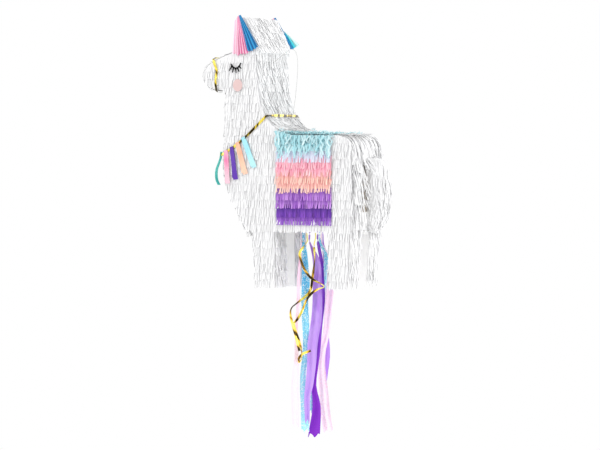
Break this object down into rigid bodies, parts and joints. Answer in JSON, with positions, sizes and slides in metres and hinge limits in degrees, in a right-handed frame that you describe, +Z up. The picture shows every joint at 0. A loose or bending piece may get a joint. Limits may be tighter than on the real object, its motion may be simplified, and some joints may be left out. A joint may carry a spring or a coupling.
{
  "type": "pinata",
  "caption": "Llama pull pinata: card box body with fringed tissue, saddle cloth and tassels, hung by a cord loop, with streamers on a belly trap door.",
  "frame": {"origin": "top of the hanging cord's loop, where a hook holds it, in the body's middle plane", "axes": "+Z up, -X towards the muzzle, +X towards the tail, -Y to the llama's left side"},
  "size_m": [0.3819, 0.1466, 0.84],
  "materials": {
    "card": "matte",
    "white_tissue": "matte",
    "paper_tape": "satin",
    "cord": "matte",
    "blanket_tissue": "matte",
    "ear_tissue": "matte",
    "black_sticker": "satin",
    "blush_sticker": "matte",
    "gold_foil": "gloss",
    "teal_crepe": "matte",
    "pink_crepe": "matte",
    "purple_crepe": "matte",
    "peach_crepe": "matte",
    "blue_crepe": "matte",
    "lavender_crepe": "matte",
    "violet_crepe": "matte",
    "ice_crepe": "matte",
    "rose_crepe": "matte",
    "sky_crepe": "matte",
    "blossom_crepe": "matte",
    "plum_crepe": "matte"
  },
  "bodies": {
    "shell": {"left_side_panel": "card", "right_side_panel": "card", "face_strip": "card", "ear_strip": "card", "nape_strip": "card", "back_strip": "card", "rump_strip": "card", "chest_strip": "card", "belly_board": "card", "front_left_leg_box": "card", "front_right_leg_box": "card", "rear_left_leg_box": "card", "rear_right_leg_box": "card", "door_hinge_tape": "paper_tape", "flap_hinge_tape": "paper_tape", "nape_washer": "card", "withers_washer": "card", "hanging_cord": "cord", "nape_knot": "cord", "withers_knot": "cord", "left_side_fringe": "white_tissue", "right_side_fringe": "white_tissue", "head_fringe": "white_tissue", "neck_fringe": "white_tissue", "rump_fringe": "white_tissue", "chest_fringe": "white_tissue", "blanket": "blanket_tissue", "left_ear_fan": "ear_tissue", "right_ear_fan": "ear_tissue", "left_eye": "black_sticker", "right_eye": "black_sticker", "left_cheek": "blush_sticker", "right_cheek": "blush_sticker", "halter_ribbon": "gold_foil", "necklace_ribbon": "gold_foil"},
    "trap_door": {"trap_door": "card", "door_seal": "paper_tape", "streamer_tape": "paper_tape"},
    "streamers": {"rose_streamer": "rose_crepe", "sky_streamer": "sky_crepe", "lavender_streamer": "lavender_crepe", "violet_streamer": "violet_crepe", "ice_streamer": "ice_crepe", "blossom_streamer": "blossom_crepe", "plum_streamer": "plum_crepe", "front_curling_ribbon": "gold_foil", "rear_curling_ribbon": "gold_foil"},
    "fill_flap": {"fill_flap": "card", "tail_tuft": "white_tissue"},
    "left_teal_tassel": {"left_teal_tassel": "teal_crepe"},
    "left_pink_tassel": {"left_pink_tassel": "pink_crepe"},
    "left_purple_tassel": {"left_purple_tassel": "purple_crepe"},
    "left_peach_tassel": {"left_peach_tassel": "peach_crepe"},
    "left_blue_tassel": {"left_blue_tassel": "blue_crepe"},
    "right_teal_tassel": {"right_teal_tassel": "teal_crepe"},
    "right_pink_tassel": {"right_pink_tassel": "pink_crepe"},
    "right_purple_tassel": {"right_purple_tassel": "purple_crepe"},
    "right_peach_tassel": {"right_peach_tassel": "peach_crepe"},
    "right_blue_tassel": {"right_blue_tassel": "blue_crepe"}
  },
  "joints": [
    {"name": "door_hinge", "type": "hinge", "parent": "shell", "child": "trap_door", "pos_m": [0.004, 0, -0.362], "axis": [0, 1, 0], "range_deg": [0, 80]},
    {"name": "streamer_swing", "type": "hinge", "parent": "trap_door", "child": "streamers", "pos_m": [0.044, 0, -0.364], "axis": [0, 1, 0], "range_deg": [-80, 0]},
    {"name": "fill_flap_hinge", "type": "hinge", "parent": "shell", "child": "fill_flap", "pos_m": [0.1665, 0, -0.2155], "axis": [0, -1, 0], "range_deg": [0, 95]},
    {"name": "left_teal_tassel_swing", "type": "hinge", "parent": "shell", "child": "left_teal_tassel", "pos_m": [-0.129, -0.06, -0.2055], "axis": [0, 1, 0], "range_deg": [0, 60]},
    {"name": "left_pink_tassel_swing", "type": "hinge", "parent": "shell", "child": "left_pink_tassel", "pos_m": [-0.11316, -0.0697, -0.2028], "axis": [-0.9986, 0, -0.0523], "range_deg": [0, 60]},
    {"name": "left_purple_tassel_swing", "type": "hinge", "parent": "shell", "child": "left_purple_tassel", "pos_m": [-0.10042, -0.0697, -0.19553], "axis": [-0.9903, 0, -0.1392], "range_deg": [0, 60]},
    {"name": "left_peach_tassel_swing", "type": "hinge", "parent": "shell", "child": "left_peach_tassel", "pos_m": [-0.08733, -0.0697, -0.18662], "axis": [-0.9613, 0, -0.2756], "range_deg": [0, 60]},
    {"name": "left_blue_tassel_swing", "type": "hinge", "parent": "shell", "child": "left_blue_tassel", "pos_m": [-0.07417, -0.0697, -0.17624], "axis": [-0.9205, 0, -0.3907], "range_deg": [0, 60]},
    {"name": "right_teal_tassel_swing", "type": "hinge", "parent": "shell", "child": "right_teal_tassel", "pos_m": [-0.129, 0.06, -0.2055], "axis": [0, 1, 0], "range_deg": [0, 60]},
    {"name": "right_pink_tassel_swing", "type": "hinge", "parent": "shell", "child": "right_pink_tassel", "pos_m": [-0.11316, 0.0697, -0.2028], "axis": [0.9986, 0, 0.0523], "range_deg": [0, 60]},
    {"name": "right_purple_tassel_swing", "type": "hinge", "parent": "shell", "child": "right_purple_tassel", "pos_m": [-0.10042, 0.0697, -0.19553], "axis": [0.9903, 0, 0.1392], "range_deg": [0, 60]},
    {"name": "right_peach_tassel_swing", "type": "hinge", "parent": "shell", "child": "right_peach_tassel", "pos_m": [-0.08733, 0.0697, -0.18662], "axis": [0.9613, 0, 0.2756], "range_deg": [0, 60]},
    {"name": "right_blue_tassel_swing", "type": "hinge", "parent": "shell", "child": "right_blue_tassel", "pos_m": [-0.07417, 0.0697, -0.17624], "axis": [0.9205, 0, 0.3907], "range_deg": [0, 60]}
  ],
  "couplings": [
    {"joint": "streamer_swing", "follows": "door_hinge", "ratio": -1}
  ]
}
